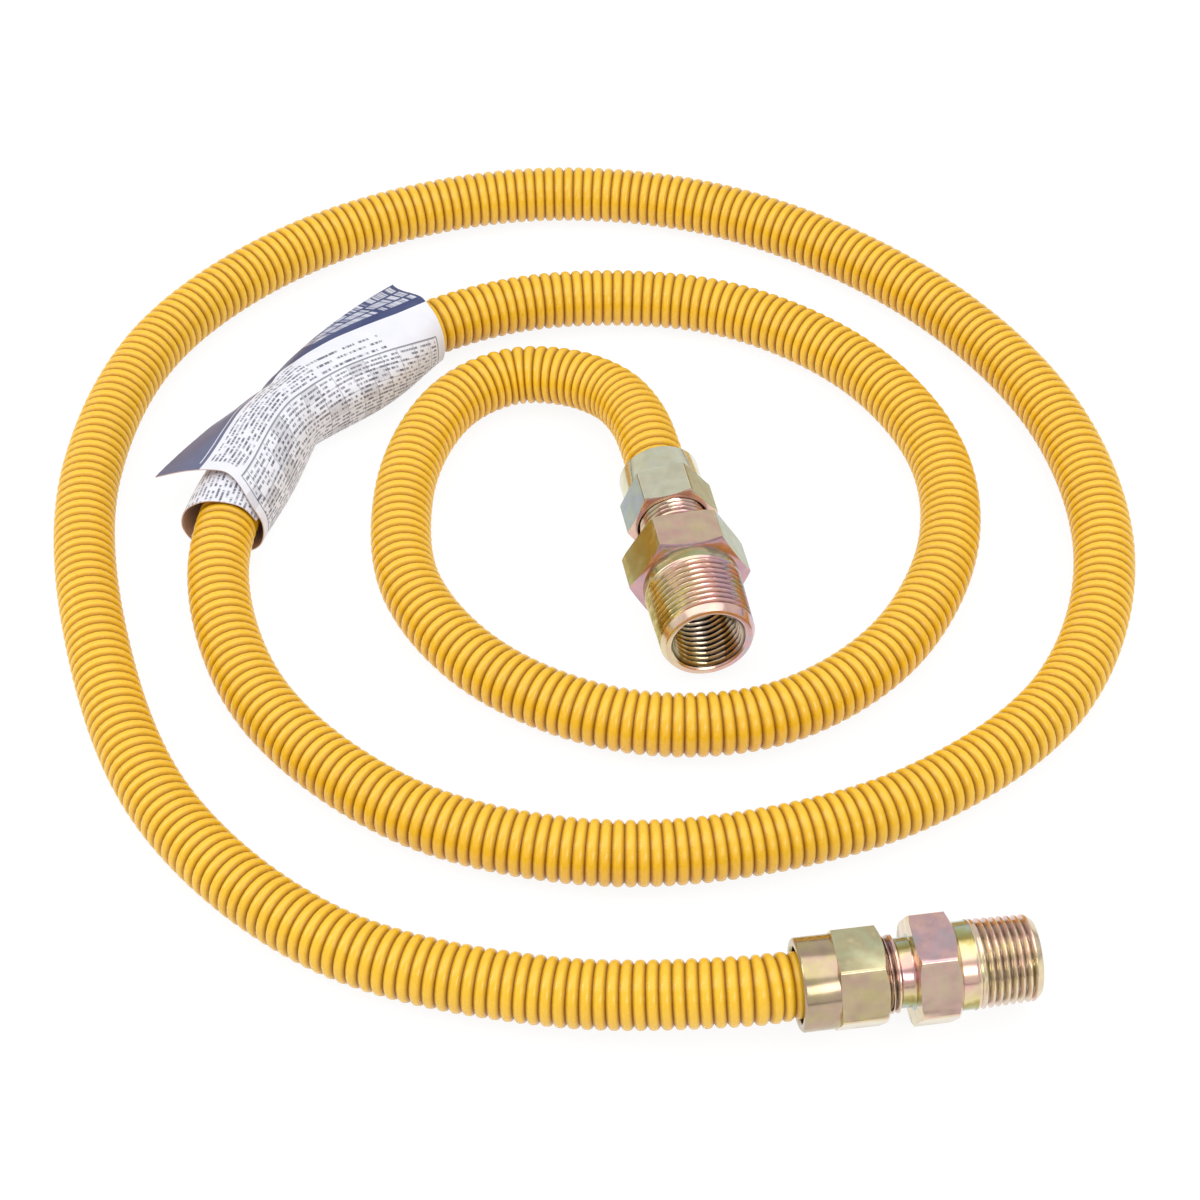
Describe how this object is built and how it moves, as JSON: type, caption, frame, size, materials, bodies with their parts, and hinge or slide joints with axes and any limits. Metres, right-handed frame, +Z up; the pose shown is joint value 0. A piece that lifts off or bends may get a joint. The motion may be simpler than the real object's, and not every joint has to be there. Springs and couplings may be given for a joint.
{
  "type": "flexible gas hose",
  "caption": "Yellow-coated corrugated steel gas connector lying in a loose coil, with swivel flare nuts, threaded pipe adapters and a wrapped paper label.",
  "frame": {"origin": "on the surface that the hose lies on, under the middle of the whole object's box", "axes": "+Z up from the surface, the coil's outer end on the -Y side and pointing towards +X"},
  "size_m": [0.3003, 0.3336, 0.0292],
  "materials": {
    "tube_steel": "bare stainless steel, drawn",
    "coat_yellow": "satin gloss over close ridges",
    "plated_steel": "yellow-passivated zinc plate with pink, green and blue tints",
    "label_paper": "smooth coated sheet with printed fields"
  },
  "bodies": {
    "hose": {"steel_tube": "tube_steel", "yellow_coat": "coat_yellow", "label": "label_paper"},
    "inner_nut": {"nut_inner": "plated_steel"},
    "inner_adapter": {"adapter_inner": "plated_steel"},
    "outer_nut": {"nut_outer": "plated_steel"},
    "outer_adapter": {"adapter_outer": "plated_steel"}
  },
  "joints": [
    {"name": "inner_nut_turn", "type": "hinge", "parent": "hose", "child": "inner_nut", "pos_m": [0.01899, 0.02054, 0.0146], "axis": [-0.1874, 0.9823, 0], "range_deg": [0, 1440]},
    {"name": "inner_adapter_slide", "type": "slide", "parent": "hose", "child": "inner_adapter", "axis": [0.1874, -0.9823, 0], "range_m": [0, 0.00635]},
    {"name": "outer_nut_turn", "type": "hinge", "parent": "hose", "child": "outer_nut", "pos_m": [0.04897, -0.15542, 0.0124], "axis": [-0.9893, -0.1461, 0], "range_deg": [0, 1440]},
    {"name": "outer_adapter_slide", "type": "slide", "parent": "hose", "child": "outer_adapter", "axis": [0.9893, 0.1461, 0], "range_m": [0, 0.00635]}
  ],
  "couplings": [
    {"joint": "inner_nut_turn", "follows": "inner_adapter_slide", "rad_per_m": 3957.9},
    {"joint": "outer_nut_turn", "follows": "outer_adapter_slide", "rad_per_m": 3957.9}
  ]
}
